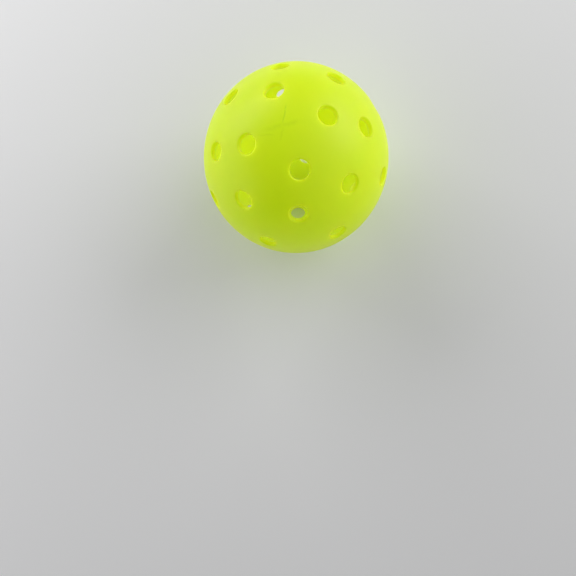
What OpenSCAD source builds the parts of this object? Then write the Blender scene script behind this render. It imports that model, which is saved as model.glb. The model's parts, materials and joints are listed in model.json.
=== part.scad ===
// Hollow perforated pickleball, outdoor pattern: two moulded half shells, drilled with rings of air
// holes and joined around the equator by a hot-plate weld.
// Millimetres. The origin is the ball's centre and +Z is the upper half's moulding axis.
// A hole's tilt is its angle from its half's pole. A ring's turn is its angle around that pole from the
// half's first ring, anticlockwise as seen from outside.

/* [Ball] */
// Outside diameter of the finished ball
ball_d = 74.2; // [60:0.1:90]
// Wall thickness of each half shell
wall = 1.85; // [1.3:0.05:2.6]

/* [Air holes] */
// Bore diameter of every air hole
hole_d = 6.8; // [5:0.05:8.6]
// Width and depth of the countersink around each hole's outer edge
mouth = 0.35; // [0.1:0.05:0.8]
// Tilt of the first ring, of four holes
ring1_tilt = 23; // [20:0.5:27]
// Tilt of the second ring, of eight holes
ring2_tilt = 47; // [43:0.5:51]
// Tilt of the third ring, of eight holes
ring3_tilt = 73.5; // [68:0.5:78]

/* [Drilling of the upper half] */
// Turn of the upper half's second ring
upper_ring2_turn = 34.5; // [0:0.5:45]
// Turn of the upper half's third ring
upper_ring3_turn = 11; // [0:0.5:45]

/* [Drilling of the lower half] */
// Turn of the lower half's second ring
lower_ring2_turn = 4.5; // [0:0.5:45]
// Turn of the lower half's third ring
lower_ring3_turn = 27; // [0:0.5:45]

/* [Weld] */
// Turn of the lower half about +Z when it is welded on, from a first hole over +X
half_turn = 64.5; // [0:0.5:90]
// Thickness of the melted zone between the two rims
weld_t = 0.4; // [0.2:0.05:0.8]
// Depth of the hairline that trimming leaves around the outside
seam_depth = 0.1; // [0.05:0.05:0.3]
// Radius of each of the two rolls of flash inside the ball
flash_r = 0.55; // [0.4:0.05:0.9]
// Gap that is left between a roll of flash and the wall that it curls back against
flash_gap = 0.05; // [0.02:0.01:0.2]

/* [Hidden] */
$fn = 128;
outer_r = ball_d / 2;
inner_r = outer_r - wall;
hole_r = hole_d / 2;
mouth_r = hole_r + mouth;
// Each ring of holes in a half: tilt from the pole, number of holes
RINGS = [[ring1_tilt, 4], [ring2_tilt, 8], [ring3_tilt, 8]];
// The rings' turns in each half
UPPER_TURNS = [0, upper_ring2_turn, upper_ring3_turn];
LOWER_TURNS = [0, lower_ring2_turn, lower_ring3_turn];
// How far a cutter runs past the surface that it cuts
past = 1;
// Height at which a hole's countersink meets the outside of the ball
mouth_z = sqrt(outer_r * outer_r - mouth_r * mouth_r);
// Radius of the circle on which the middles of the rolls of flash lie
flash_mid_r = inner_r - flash_r / 2;

// One air hole along +Z: a straight bore, and a ball-nosed countersink that opens it at the surface.
// The countersink's ball passes through the circle on the outside and the circle on the bore.
// The bore starts at the ball's centre, so that it meets both spheres in exact circles.
module hole_cutter() {
    rotate_extrude() {
        square([hole_r, outer_r + past]);
        intersection() {
            translate([0, mouth_z + hole_r])
                circle(r = sqrt(hole_r * hole_r + mouth_r * mouth_r));
            square([outer_r, outer_r + past]);
        }
    }
}

module ring_of_holes(tilt, turn, count) {
    for (i = [0 : count - 1])
        rotate([0, tilt, turn + i * 360 / count])
            hole_cutter();
}

// The moulded hemisphere, ending at the flat rim where the melted zone begins
module bowl() {
    intersection() {
        difference() {
            sphere(r = outer_r);
            sphere(r = inner_r);
        }
        translate([0, 0, weld_t / 2])
            cylinder(r = outer_r + past, h = outer_r + past);
    }
}

module half_shell(turns) {
    difference() {
        bowl();
        for (i = [0 : len(RINGS) - 1])
            ring_of_holes(RINGS[i][0], turns[i], RINGS[i][1]);
    }
}

module upper_half_shell() {
    color("yellowgreen") half_shell(UPPER_TURNS);
}

// The same moulding with its own drilling, turned over and round
module lower_half_shell() {
    color("greenyellow")
        rotate([0, 0, half_turn])
            rotate([180, 0, 0])
                half_shell(LOWER_TURNS);
}

// The melted zone between the rims, trimmed just below the outside
module weld_web() {
    difference() {
        cylinder(r = outer_r - seam_depth, h = weld_t, center = true);
        cylinder(r = flash_mid_r, h = weld_t + 2 * past, center = true);
    }
}

// The flash that the weld squeezes inwards, rolled back against both halves
module flash_rolls() {
    intersection() {
        sphere(r = inner_r - flash_gap);
        for (side = [-1, 1])
            translate([0, 0, side * (weld_t / 2 + flash_r / 2)])
                rotate_extrude()
                    translate([flash_mid_r, 0])
                        circle(r = flash_r);
    }
}

module seam_weld_bead() {
    color("olivedrab") {
        weld_web();
        flash_rolls();
    }
}

upper_half_shell();
lower_half_shell();
seam_weld_bead();
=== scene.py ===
"""Looks of a hollow perforated pickleball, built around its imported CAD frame.

Metres. The origin is the ball's centre and +Z is the upper half's moulding axis. Places are given
as a tilt from the pole and a turn about it, or as a radius and a height in a section.
"""

import json
import math

import bpy
import numpy as np
from mathutils import Matrix, Vector
from mathutils.geometry import delaunay_2d_cdt


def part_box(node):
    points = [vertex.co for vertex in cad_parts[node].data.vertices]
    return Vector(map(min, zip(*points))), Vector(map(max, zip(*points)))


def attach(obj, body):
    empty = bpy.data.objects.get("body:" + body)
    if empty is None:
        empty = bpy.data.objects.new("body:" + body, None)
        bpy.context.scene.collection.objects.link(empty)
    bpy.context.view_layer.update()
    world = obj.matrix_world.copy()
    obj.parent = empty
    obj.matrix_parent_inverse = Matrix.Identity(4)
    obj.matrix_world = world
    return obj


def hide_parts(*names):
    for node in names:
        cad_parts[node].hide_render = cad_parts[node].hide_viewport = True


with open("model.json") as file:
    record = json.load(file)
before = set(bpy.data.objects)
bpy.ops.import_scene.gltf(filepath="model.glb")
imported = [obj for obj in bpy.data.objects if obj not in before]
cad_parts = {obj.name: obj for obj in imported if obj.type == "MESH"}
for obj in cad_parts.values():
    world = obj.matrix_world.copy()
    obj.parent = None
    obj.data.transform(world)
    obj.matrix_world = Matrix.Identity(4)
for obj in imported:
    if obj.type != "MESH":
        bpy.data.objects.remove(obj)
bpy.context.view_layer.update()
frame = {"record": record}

MM = 0.001

# ---------------------------------------------------------------- sizes
mounts = {m["name"]: m for m in frame["record"]["mounts"]}
first_axis = Vector(mounts["upper_cord_hole"]["axis"])
turned_axis = Vector(mounts["lower_cord_hole"]["axis"])

OUTER_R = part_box("upper_half_shell")[1].z
RIM_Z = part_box("upper_half_shell")[0].z
WELD_R = max(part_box("seam_weld_bead")[1].xy)
HOLE_R = mounts["upper_cord_hole"]["dims"]["r_mm"] * MM
RING1_TILT = math.acos(first_axis.z)

# The frame doesn't state these, so they repeat the CAD model's values
WALL = 1.85 * MM
INNER_R = OUTER_R - WALL
RING2_TILT = math.radians(47.0)
RING3_TILT = math.radians(73.5)

# Each ring of air holes in a half: tilt from the half's pole, turn from its first ring, number of holes.
# The turns repeat the CAD model's too.
UPPER_RINGS = (
    (RING1_TILT, 0.0, 4),
    (RING2_TILT, math.radians(34.5), 8),
    (RING3_TILT, math.radians(11.0), 8),
)
LOWER_RINGS = (
    (RING1_TILT, 0.0, 4),
    (RING2_TILT, math.radians(4.5), 8),
    (RING3_TILT, math.radians(27.0), 8),
)
# The lower half is made the same way up as the upper one, and then turned over and round
HALF_TURN = math.atan2(turned_axis.y, turned_axis.x)
TURNED_OVER = Matrix.Rotation(HALF_TURN, 4, "Z") @ Matrix.Rotation(math.pi, 4, "X")

# Rounding of a hole's outer and inner edge, and of a half's outer edge at the seam
MOUTH_ROUND = 0.5 * MM
INNER_ROUND = 0.15 * MM
SEAM_ROUND = 0.09 * MM

# Flash inside the weld: radius of a roll, its gap to the wall, and how far its waves stand out
FLASH_R = 0.55 * MM
FLASH_GAP = 0.05 * MM
FLASH_UNEVEN = 0.06 * MM
# How far the weld's trimmed edge slopes in towards each rim
WELD_SLOPE = 0.02 * MM

# Fineness of the meshes: points around a hole and around the ball, and the faces across each rounding
HOLE_STEPS = 72
EQUATOR_STEPS = 360
MOUTH_STEPS = 6
INNER_EDGE_STEPS = 3
SEAM_STEPS = 4
ROLL_STEPS = 14
# Distance between the points of each skin
OUTER_SPACING = 1.05 * MM
INNER_SPACING = 1.5 * MM
# Rings of points that grow coarser away from a hole's rim: distance from it and number of points
RIM_RINGS = (
    (0.28 * MM, HOLE_STEPS),
    (0.75 * MM, HOLE_STEPS * 2 // 3),
)
# Heights above a skin's edge of the rings of points along it
EDGE_RINGS = (0.3 * MM, 0.85 * MM)
# Room between those rings and the even points, as a share of the spacing
CLEARANCE = 0.6
# The flat triangulation fills the points' whole outline, and takes points this close as one
WHOLE_OUTLINE = 0
SAME_POINT = 1e-9


# ---------------------------------------------------------------- mesh code
def on_sphere(tilt, turn):
    return np.array([
        math.sin(tilt) * math.cos(turn),
        math.sin(tilt) * math.sin(turn),
        math.cos(tilt),
    ])


def hole_axes(rings):
    """Each hole's axis with two directions across it."""
    axes = []
    for tilt, turn, count in rings:
        for i in range(count):
            around = turn + i * math.tau / count
            axis = on_sphere(tilt, around)
            down = on_sphere(tilt + math.pi / 2, around)
            axes.append((axis, down, np.cross(axis, down)))
    return axes


class Skin:
    """Points with their normals, and the faces between them."""

    def __init__(self):
        self.points = []
        self.normals = []
        self.faces = []

    def add(self, points, normals):
        start = len(self.points)
        self.points.extend(points)
        self.normals.extend(normals)
        return list(range(start, len(self.points)))

    def bridge(self, first, second, turn_over=False):
        """Quads between two closed loops of as many points."""
        n = len(first)
        for k in range(n):
            j = (k + 1) % n
            quad = (first[k], first[j], second[j], second[k])
            self.faces.append(quad[::-1] if turn_over else quad)

    def piece(self, name, turn=None):
        points = np.array(self.points)
        normals = np.array(self.normals)
        if turn is not None:
            matrix = np.array(turn.to_3x3())
            points = points @ matrix.T
            normals = normals @ matrix.T
        mesh = bpy.data.meshes.new(name)
        mesh.from_pydata(points.tolist(), [], self.faces)
        mesh.polygons.foreach_set("use_smooth", [True] * len(mesh.polygons))
        mesh.validate()
        mesh.normals_split_custom_set_from_vertices(normals.tolist())
        mesh.update()
        piece = bpy.data.objects.new(name, mesh)
        bpy.context.scene.collection.objects.link(piece)
        return piece


def hole_loop(hole, radius, height, out, up, steps=HOLE_STEPS):
    """A circle around a hole's axis. out and up are its normal, away from the axis and along it."""
    axis, across, side = hole
    points, normals = [], []
    for k in range(steps):
        a = k * math.tau / steps
        away = math.cos(a) * across + math.sin(a) * side
        points.append(radius * away + height * axis)
        normals.append(out * away + up * axis)
    return points, normals


def equator_loop(radius, height, out, up):
    return hole_loop((np.array([0, 0, 1.0]), np.array([1.0, 0, 0]), np.array([0, 1.0, 0])),
                     radius, height, out, up, EQUATOR_STEPS)


def mouth_section():
    """Section of a hole from the outer skin to the inner one: radius, height and normal."""
    section = []
    # The mouth's rounding touches the outer sphere from inside, and the bore
    centre_r = HOLE_R + MOUTH_ROUND
    centre_z = math.sqrt((OUTER_R - MOUTH_ROUND) ** 2 - centre_r ** 2)
    start = math.atan2(centre_z, centre_r)
    for k in range(MOUTH_STEPS + 1):
        a = start + (math.pi - start) * k / MOUTH_STEPS
        section.append((centre_r + MOUTH_ROUND * math.cos(a), centre_z + MOUTH_ROUND * math.sin(a),
                        math.cos(a), math.sin(a)))
    # The inner edge's rounding touches the inner sphere from outside, and the bore
    centre_r = HOLE_R + INNER_ROUND
    centre_z = math.sqrt((INNER_R + INNER_ROUND) ** 2 - centre_r ** 2)
    end = math.pi + math.atan2(centre_z, centre_r)
    top = section[-1][1]
    section.append((HOLE_R, (top + centre_z) / 2, -1.0, 0.0))
    for k in range(INNER_EDGE_STEPS + 1):
        a = math.pi + (end - math.pi) * k / INNER_EDGE_STEPS
        section.append((centre_r + INNER_ROUND * math.cos(a), centre_z + INNER_ROUND * math.sin(a),
                        math.cos(a), math.sin(a)))
    return section


def sphere_skin(skin, holes, radius, rim_r, edge_z, spacing, facing):
    """Covers the sphere above edge_z, around the holes, and returns its loops: each rim, then the edge.

    The points are laid flat by a stereographic projection, which keeps circles round, and joined there.
    """
    flat_start = len(skin.points)
    loops = []
    for hole in holes:
        height = math.sqrt(radius ** 2 - rim_r ** 2)
        points, _ = hole_loop(hole, rim_r, height, 0, 0)
        loops.append(skin.add(points, [facing * p / radius for p in points]))
    edge_r = math.sqrt(radius ** 2 - edge_z ** 2)
    points, _ = equator_loop(edge_r, edge_z, 0, 0)
    loops.append(skin.add(points, [facing * p / radius for p in points]))

    fill = []
    for hole in holes:
        for grow, steps in RIM_RINGS:
            r = rim_r + grow
            fill += hole_loop(hole, r, math.sqrt(radius ** 2 - r ** 2), 0, 0, steps)[0]
    for rise in EDGE_RINGS:
        z = edge_z + rise
        fill += equator_loop(math.sqrt(radius ** 2 - z ** 2), z, 0, 0)[0]

    # An even spiral of points everywhere else, as dense as a net of equal triangles
    total = int(4 * math.pi * radius ** 2 / (spacing ** 2 * math.sqrt(3) / 2))
    golden = math.pi * (3 - math.sqrt(5))
    index = np.arange(total)
    z = 1 - (2 * index + 1) / total
    r = np.sqrt(1 - z ** 2)
    even = np.stack([r * np.cos(index * golden), r * np.sin(index * golden), z], 1)
    axes = np.array([hole[0] for hole in holes])
    reach = math.asin((rim_r + RIM_RINGS[-1][0] + CLEARANCE * spacing) / radius)
    clear = (even @ axes.T).max(1) < math.cos(reach)
    high = even[:, 2] * radius > edge_z + EDGE_RINGS[-1] + CLEARANCE * spacing
    fill += list(even[clear & high] * radius)
    skin.add(fill, [facing * p / radius for p in fill])

    # Join them, and leave out the triangles that lie across a hole
    laid = np.array(skin.points[flat_start:]) / radius
    flat = [Vector((p[0] / (1 + p[2]), p[1] / (1 + p[2]))) for p in laid]
    edges = []
    for loop in loops:
        own = [i - flat_start for i in loop]
        edges += list(zip(own, own[1:] + own[:1]))
    _, _, triangles, source, _, _ = delaunay_2d_cdt(flat, edges, [], WHOLE_OUTLINE, SAME_POINT)
    limit = math.cos(math.asin(rim_r / radius))
    for triangle in triangles:
        corners = [source[i][0] for i in triangle]
        middle = laid[corners].mean(0)
        middle /= np.linalg.norm(middle)
        if (axes @ middle).max() > limit:
            continue
        corners = [i + flat_start for i in corners]
        skin.faces.append(tuple(corners if facing > 0 else corners[::-1]))
    return loops


def half_shell(rings):
    """One half, the upper way up: both skins, the sides of its holes and its rim."""
    skin = Skin()
    holes = hole_axes(rings)
    section = mouth_section()
    edge_z = RIM_Z + SEAM_ROUND
    outer = sphere_skin(skin, holes, OUTER_R, section[0][0], edge_z, OUTER_SPACING, 1)
    inner = sphere_skin(skin, holes, INNER_R, section[-1][0], RIM_Z, INNER_SPACING, -1)
    for hole, top, bottom in zip(holes, outer, inner):
        above = top
        for r, z, out, up in section[1:-1]:
            below = skin.add(*hole_loop(hole, r, z, out, up))
            skin.bridge(above, below)
            above = below
        skin.bridge(above, bottom)
    # The rim: a small rounding on the outside, then the flat that meets the weld
    above = outer[-1]
    edge_r = math.sqrt(OUTER_R ** 2 - edge_z ** 2) - SEAM_ROUND
    for k in range(1, SEAM_STEPS + 1):
        a = -math.pi / 2 * k / SEAM_STEPS
        out, up = math.cos(a), math.sin(a)
        below = skin.add(*equator_loop(edge_r + SEAM_ROUND * out, edge_z + SEAM_ROUND * up, out, up))
        skin.bridge(above, below, turn_over=True)
        above = below
    skin.bridge(above, inner[-1], turn_over=True)
    return skin


def waves(a, z):
    """How uneven the flash is at an angle around the ball and a height."""
    return (
        math.sin(7 * a + 0.6)
        + 0.6 * math.sin(19 * a + 2.1 + 2 * z / MM)
        + 0.3 * math.sin(43 * a)
    )


def weld_ring():
    """The melted zone with its two rolls of flash, which are a little uneven around the ball."""
    middle_r = INNER_R - FLASH_R / 2
    middle_z = RIM_Z + FLASH_R / 2
    wall_r = INNER_R - FLASH_GAP
    # Where a roll leaves the wall, and where the two rolls meet
    top_z = middle_z + math.sqrt(FLASH_R ** 2 - (wall_r - middle_r) ** 2)
    start = math.atan2(top_z - middle_z, wall_r - middle_r)
    end = math.pi + math.asin(middle_z / FLASH_R)
    # Radius, height and normal of each point, from the outside over the upper roll to where the rolls meet
    section = [
        (WELD_R, 0.0, 1.0, 0.0),
        (WELD_R - WELD_SLOPE, RIM_Z, 1.0, 0.0),
        (wall_r, RIM_Z, 0.0, 1.0),
        (wall_r, (RIM_Z + top_z) / 2, 1.0, 0.0),
    ]
    for k in range(ROLL_STEPS):
        a = start + (end - start) * k / ROLL_STEPS
        section.append((middle_r + FLASH_R * math.cos(a), middle_z + FLASH_R * math.sin(a),
                        math.cos(a), math.sin(a)))
    section.append((middle_r + FLASH_R * math.cos(end), 0.0, -1.0, 0.0))
    # The lower roll mirrors the upper one
    section += [(r, -z, out, -up) for r, z, out, up in reversed(section[1:-1])]

    skin = Skin()
    loops = []
    for r, z, out, up in section:
        points, normals = [], []
        for k in range(EQUATOR_STEPS):
            a = k * math.tau / EQUATOR_STEPS
            inward = max(0.0, (wall_r - r) / (wall_r - middle_r + FLASH_R))
            here = r + inward * FLASH_UNEVEN * waves(a, z)
            points.append(np.array([here * math.cos(a), here * math.sin(a), z]))
            normals.append(np.array([out * math.cos(a), out * math.sin(a), up]))
        loops.append(skin.add(points, normals))
    for first, second in zip(loops, loops[1:] + loops[:1]):
        skin.bridge(first, second)
    return skin


# ---------------------------------------------------------------- materials
def new_material(name):
    material = bpy.data.materials.new(name)
    material.use_nodes = True
    nodes, links = material.node_tree.nodes, material.node_tree.links
    return material, nodes, links, nodes["Principled BSDF"]


def noise(nodes, links, coordinates, size, detail=2.0, roughness=0.5):
    """Noise whose features are about `size` metres wide."""
    node = nodes.new("ShaderNodeTexNoise")
    node.inputs["Scale"].default_value = 1 / size
    node.inputs["Detail"].default_value = detail
    node.inputs["Roughness"].default_value = roughness
    links.new(coordinates, node.inputs["Vector"])
    return node.outputs["Fac"]


def ramp(nodes, links, value, low, high, to_low=0.0, to_high=1.0):
    node = nodes.new("ShaderNodeMapRange")
    node.inputs["From Min"].default_value = low
    node.inputs["From Max"].default_value = high
    node.inputs["To Min"].default_value = to_low
    node.inputs["To Max"].default_value = to_high
    links.new(value, node.inputs["Value"])
    return node.outputs["Result"]


def mix_colour(nodes, links, factor, first, second):
    node = nodes.new("ShaderNodeMix")
    node.data_type = "RGBA"
    links.new(factor, node.inputs["Factor"])
    for socket, colour in ((node.inputs[6], first), (node.inputs[7], second)):
        if isinstance(colour, tuple):
            socket.default_value = (*colour, 1)
        else:
            links.new(colour, socket)
    return node.outputs[2]


def value_math(nodes, links, operation, first, second=None):
    node = nodes.new("ShaderNodeMath")
    node.operation = operation
    for socket, value in zip(node.inputs, (first, second)):
        if isinstance(value, (int, float)):
            socket.default_value = value
        elif value is not None:
            links.new(value, socket)
    return node.outputs["Value"]


def along(nodes, links, place, direction):
    """How far a place lies along a direction."""
    node = nodes.new("ShaderNodeVectorMath")
    node.operation = "DOT_PRODUCT"
    links.new(place, node.inputs[0])
    node.inputs[1].default_value = direction
    return node.outputs["Value"]


def scuff(nodes, links, place, tilt, turn, heading, length, width, wander):
    """Mask of one scuff line: 1 along its middle, fading over its width and towards its ends.

    Its middle lies at a tilt and turn in degrees, and it heads that many degrees round from the way down.
    """
    middle = on_sphere(math.radians(tilt), math.radians(turn))
    down = on_sphere(math.radians(tilt + 90), math.radians(turn))
    side = np.cross(middle, down)
    a = math.radians(heading)
    forward = math.cos(a) * down + math.sin(a) * side
    across = np.cross(middle, forward)
    bend = noise(nodes, links, place, length / 3, 1.0)
    bend = value_math(nodes, links, "SUBTRACT", bend, 0.5)
    bend = value_math(nodes, links, "MULTIPLY", bend, wander)
    off = value_math(nodes, links, "ADD", along(nodes, links, place, across), bend)
    off = value_math(nodes, links, "ABSOLUTE", off)
    reach = value_math(nodes, links, "ABSOLUTE", along(nodes, links, place, forward))
    in_width = ramp(nodes, links, off, 0.15 * width, width, 1.0, 0.0)
    in_length = ramp(nodes, links, reach, 0.25 * length, 0.5 * length, 1.0, 0.0)
    line = value_math(nodes, links, "MULTIPLY", in_width, in_length)
    # The same line would cross the far side of the ball as well
    near_side = ramp(nodes, links, along(nodes, links, place, middle), 0.0, 1 * MM)
    return value_math(nodes, links, "MULTIPLY", line, near_side)


# Tilt, turn and heading in degrees, then length, width and wander in mm, then depth from 0 to 1
SCUFFS = (
    (6.7, -12.0, -14.0, 8.5, 0.42, 1.0, 0.9),
    (1.5, 47.5, 36.0, 16.0, 1.30, 1.2, 0.4),
    (4.0, 133.0, 17.0, 6.0, 0.60, 1.0, 0.35),
    (11.3, 92.0, -26.0, 7.0, 0.45, 0.8, 0.3),
    (75.0, 20.0, 35.0, 9.0, 0.45, 1.2, 0.8),
    (95.0, 300.0, 70.0, 14.0, 0.60, 2.0, 0.6),
    (112.0, 40.0, -30.0, 10.0, 0.50, 1.8, 0.8),
    (140.0, 280.0, 15.0, 12.0, 0.60, 1.6, 0.7),
    (165.0, 100.0, 60.0, 8.0, 0.45, 1.4, 0.9),
)

# Distances from the ball's centre between which the painted lighter colour of the inner face goes over
# into the painted colour of a hole's side, and that one into the outside's own colour
NEAR_INSIDE = (INNER_R + 0.1 * MM, INNER_R + 0.5 * MM)
NEAR_OUTSIDE = (OUTER_R - 0.9 * MM, OUTER_R - 0.3 * MM)

# Colours of the ball's plastic. A pair is the two ends of a faint cloudy mix.
OUTSIDE_COLOURS = ((0.57, 0.87, 0.003), (0.61, 0.91, 0.005))
# Painted light: the inner face and the hole sides are painted paler, lighter and bluer than the outside,
# standing in for the light bounced inside the ball
INSIDE_PAINTED_LIGHT_COLOURS = ((0.69, 0.91, 0.20), (0.72, 0.92, 0.24))
HOLE_SIDE_PAINTED_LIGHT_COLOUR = (0.75, 0.985, 0.055)
SCUFF_COLOUR = (0.44, 0.72, 0.002)
WELD_COLOURS = ((0.64, 0.87, 0.07), (0.70, 0.91, 0.09))

# The noise values between which a cloud or a grain goes from its one end to its other
NOISE_RANGE = (0.3, 0.7)
CLOUD_SIZE = 14 * MM
WELD_CLOUD_SIZE = 4 * MM
GRAIN_SIZE = 0.35 * MM
GRAIN_DEPTH = 0.02 * MM
GRAIN_STRENGTH = 0.25
SCUFF_PATCH_SIZE = 1.5 * MM
SCUFF_DEPTH = 0.05 * MM

# Gloss: lowest and highest roughness, and the strength of the ball's reflections
BALL_ROUGHNESS = (0.38, 0.50)
WELD_ROUGHNESS = (0.25, 0.4)
BALL_SPECULAR = 0.30

# Optics of the plastic: how far each colour of light wanders in it, and the colour and strength of an even
# painted glow from the plastic, standing in for the light its dye gives back
PLASTIC_IOR = 1.51
WANDER_SHARES = (1.0, 1.1, 0.2)
WANDER_DISTANCE = 8.0 * MM
PAINTED_GLOW_COLOUR = (1.0, 1.0, 0.01, 1)
BALL_PAINTED_GLOW = 0.113
WELD_PAINTED_GLOW = 0.08


def translucent_with_painted_glow(shader, glow):
    """Sets up translucent plastic with an even emission: a painted glow, the same everywhere, standing in
    for the light its fluorescent dye gives back.
    """
    shader.inputs["IOR"].default_value = PLASTIC_IOR
    shader.inputs["Subsurface Weight"].default_value = 1.0
    shader.inputs["Subsurface Radius"].default_value = WANDER_SHARES
    shader.inputs["Subsurface Scale"].default_value = WANDER_DISTANCE
    shader.inputs["Emission Color"].default_value = PAINTED_GLOW_COLOUR
    shader.inputs["Emission Strength"].default_value = glow


def ball_plastic():
    """Satin plastic: cloudy colour, with the inner face and hole sides painted lighter by depth in the
    wall, a fine grain, scuffs, and an even painted glow.
    """
    material, nodes, links, shader = new_material("ball_plastic")
    place = nodes.new("ShaderNodeTexCoord").outputs["Object"]

    cloud = ramp(nodes, links, noise(nodes, links, place, CLOUD_SIZE, 3.0), *NOISE_RANGE)
    outside = mix_colour(nodes, links, cloud, *OUTSIDE_COLOURS)
    # Painted light: repeated bounces would make the inside a deeper green than a fluorescent ball has, so
    # the inside is painted paler and lighter
    painted_inside = mix_colour(nodes, links, cloud, *INSIDE_PAINTED_LIGHT_COLOURS)
    distance = nodes.new("ShaderNodeVectorMath")
    distance.operation = "LENGTH"
    links.new(place, distance.inputs[0])
    in_wall = ramp(nodes, links, distance.outputs["Value"], *NEAR_INSIDE)
    on_outside = ramp(nodes, links, distance.outputs["Value"], *NEAR_OUTSIDE)
    colour = mix_colour(nodes, links, in_wall, painted_inside, HOLE_SIDE_PAINTED_LIGHT_COLOUR)
    colour = mix_colour(nodes, links, on_outside, colour, outside)

    scuffed = None
    for tilt, turn, heading, length, width, wander, scuff_depth in SCUFFS:
        line = scuff(nodes, links, place, tilt, turn, heading, length * MM, width * MM, wander * MM)
        line = value_math(nodes, links, "MULTIPLY", line, scuff_depth)
        scuffed = line if scuffed is None else value_math(nodes, links, "MAXIMUM", scuffed, line)
    patchy = ramp(nodes, links, noise(nodes, links, place, SCUFF_PATCH_SIZE), 0.3, 0.55, 0.4, 1.0)
    scuffed = value_math(nodes, links, "MULTIPLY", scuffed, patchy)
    colour = mix_colour(nodes, links, scuffed, colour, SCUFF_COLOUR)
    links.new(colour, shader.inputs["Base Color"])

    grain = noise(nodes, links, place, GRAIN_SIZE, 3.0, 0.6)
    links.new(ramp(nodes, links, grain, *NOISE_RANGE, *BALL_ROUGHNESS), shader.inputs["Roughness"])
    grained = nodes.new("ShaderNodeBump")
    grained.inputs["Strength"].default_value = GRAIN_STRENGTH
    grained.inputs["Distance"].default_value = GRAIN_DEPTH
    links.new(grain, grained.inputs["Height"])
    scored = nodes.new("ShaderNodeBump")
    scored.invert = True
    scored.inputs["Distance"].default_value = SCUFF_DEPTH
    links.new(scuffed, scored.inputs["Height"])
    links.new(grained.outputs["Normal"], scored.inputs["Normal"])
    links.new(scored.outputs["Normal"], shader.inputs["Normal"])

    shader.inputs["Specular IOR Level"].default_value = BALL_SPECULAR
    # Even emission: painted glow that lifts the ball's shading everywhere
    translucent_with_painted_glow(shader, BALL_PAINTED_GLOW)
    return material


def weld_plastic():
    """The same plastic, melted and set: smoother, and without grain or scuffs."""
    material, nodes, links, shader = new_material("weld_plastic")
    place = nodes.new("ShaderNodeTexCoord").outputs["Object"]
    cloud = noise(nodes, links, place, WELD_CLOUD_SIZE, 3.0)
    colour = mix_colour(nodes, links, ramp(nodes, links, cloud, *NOISE_RANGE), *WELD_COLOURS)
    links.new(colour, shader.inputs["Base Color"])
    links.new(ramp(nodes, links, cloud, *NOISE_RANGE, *WELD_ROUGHNESS), shader.inputs["Roughness"])
    translucent_with_painted_glow(shader, WELD_PAINTED_GLOW)
    return material


FLOOR_COLOUR = (0.85, 0.85, 0.86, 1)
FLOOR_ROUGHNESS = 0.6


def floor_paint():
    material, _, _, shader = new_material("floor_paint")
    shader.inputs["Base Color"].default_value = FLOOR_COLOUR
    shader.inputs["Roughness"].default_value = FLOOR_ROUGHNESS
    return material


# ---------------------------------------------------------------- the ball
upper = half_shell(UPPER_RINGS).piece("upper_shell_moulding")
lower = half_shell(LOWER_RINGS).piece("lower_shell_moulding", TURNED_OVER)
weld = weld_ring().piece("weld_seam")

plastic = ball_plastic()
for piece, node, slot, material in (
    (upper, "upper_half_shell", "ball_plastic", plastic),
    (lower, "lower_half_shell", "ball_plastic", plastic),
    (weld, "seam_weld_bead", "weld_plastic", weld_plastic()),
):
    piece.data.materials.append(material)
    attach(piece, "root")
    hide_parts(node)


# ---------------------------------------------------------------- floor, lights, camera
def toward(azimuth, elevation):
    """Unit vector at an azimuth and elevation in degrees."""
    a, e = math.radians(azimuth), math.radians(elevation)
    return Vector((math.cos(e) * math.cos(a), math.cos(e) * math.sin(a), math.sin(e)))


FLOOR_SIZE = 1.6


def make_floor():
    bpy.ops.mesh.primitive_plane_add(size=FLOOR_SIZE, location=(0, 0, -OUTER_R))
    floor = bpy.context.object
    floor.name = "floor"
    floor.data.materials.append(floor_paint())


# Name, azimuth and elevation in degrees, distance, width and height in metres, and power in watts
SOFTBOXES = (
    ("right_side", -77, 26, 0.70, 0.60, 0.40, 2.0),
    ("far_side", 23, 26, 0.70, 0.60, 0.40, 2.2),
    ("left_side", 75, 8, 0.70, 1.10, 0.70, 3.2),
)


def softbox(name, azimuth, elevation, distance, width, height, power):
    data = bpy.data.lights.new(name, "AREA")
    data.shape = "RECTANGLE"
    data.size, data.size_y = width, height
    data.energy = power
    lamp = bpy.data.objects.new(name, data)
    direction = toward(azimuth, elevation)
    lamp.location = direction * distance
    lamp.rotation_mode = "QUATERNION"
    lamp.rotation_quaternion = direction.to_track_quat("Z", "Y")
    bpy.context.scene.collection.objects.link(lamp)


# Where the sky is brightest, its strength there, and its strength from 90 degrees away to the far side
SKY_BRIGHT_AZIMUTH, SKY_BRIGHT_ELEVATION = -105, 20
SKY_BRIGHTEST, SKY_DARKEST = 0.80, 0.03
# How bright the sky looks where it is seen behind the ball
BACKDROP = 0.7


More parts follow.
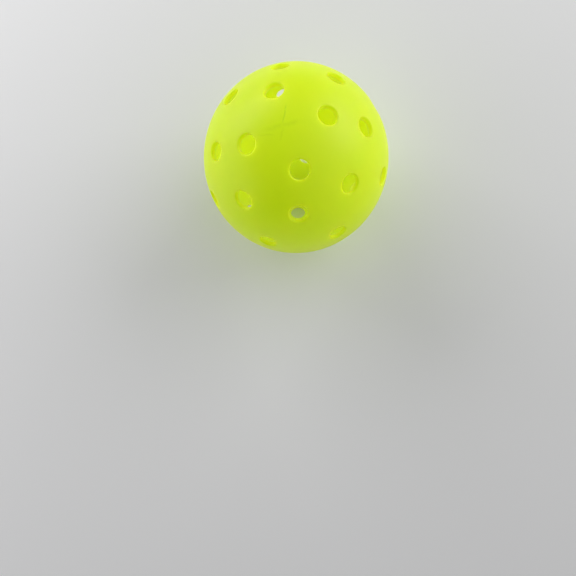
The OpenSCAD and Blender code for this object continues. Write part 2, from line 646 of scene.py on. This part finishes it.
def studio_light():
    bpy.context.scene.view_settings.view_transform = "Standard"
    world = bpy.data.worlds.new("studio")
    bpy.context.scene.world = world
    world.use_nodes = True
    nodes, links = world.node_tree.nodes, world.node_tree.links
    background = nodes["Background"]
    background.inputs["Color"].default_value = (1, 1, 1, 1)
    direction = nodes.new("ShaderNodeTexCoord").outputs["Generated"]
    brightness = along(nodes, links, direction, toward(SKY_BRIGHT_AZIMUTH, SKY_BRIGHT_ELEVATION))
    sky = ramp(nodes, links, brightness, 0.0, 1.0, SKY_DARKEST, SKY_BRIGHTEST)
    # It lights the ball and the floor unevenly, but looks plain and pale itself
    seen = nodes.new("ShaderNodeMix")
    links.new(nodes.new("ShaderNodeLightPath").outputs["Is Camera Ray"], seen.inputs["Factor"])
    links.new(sky, seen.inputs["A"])
    seen.inputs["B"].default_value = BACKDROP
    links.new(seen.outputs["Result"], background.inputs["Strength"])
    for box in SOFTBOXES:
        softbox(*box)


# Where the camera stands, the point on the floor that it is aimed at, and the way that is up in its view
CAMERA_DISTANCE = 191.7 * MM
CAMERA_AZIMUTH = 177.7
CAMERA_ELEVATION = 71.2
AIM_ON_FLOOR = (-45.4 * MM, 22.0 * MM)
UP_AZIMUTH = -17.6
FIELD_OF_VIEW = 65.2
# Width of the camera's sensor in mm, which only scales its lens, and the nearest distance that it sees
SENSOR_WIDTH = 36.0
NEAREST_SEEN = 10 * MM


def make_camera():
    data = bpy.data.cameras.new("camera")
    data.sensor_width = SENSOR_WIDTH
    data.lens = SENSOR_WIDTH / 2 / math.tan(math.radians(FIELD_OF_VIEW) / 2)
    data.clip_start = NEAREST_SEEN
    camera = bpy.data.objects.new("camera", data)
    place = toward(CAMERA_AZIMUTH, CAMERA_ELEVATION) * CAMERA_DISTANCE
    look = (Vector((*AIM_ON_FLOOR, -OUTER_R)) - place).normalized()
    right = look.cross(toward(UP_AZIMUTH, 0)).normalized()
    up = right.cross(look)
    camera.matrix_world = Matrix.Translation(place) @ Matrix((right, up, -look)).transposed().to_4x4()
    bpy.context.scene.collection.objects.link(camera)
    bpy.context.scene.camera = camera


make_floor()
studio_light()
make_camera()
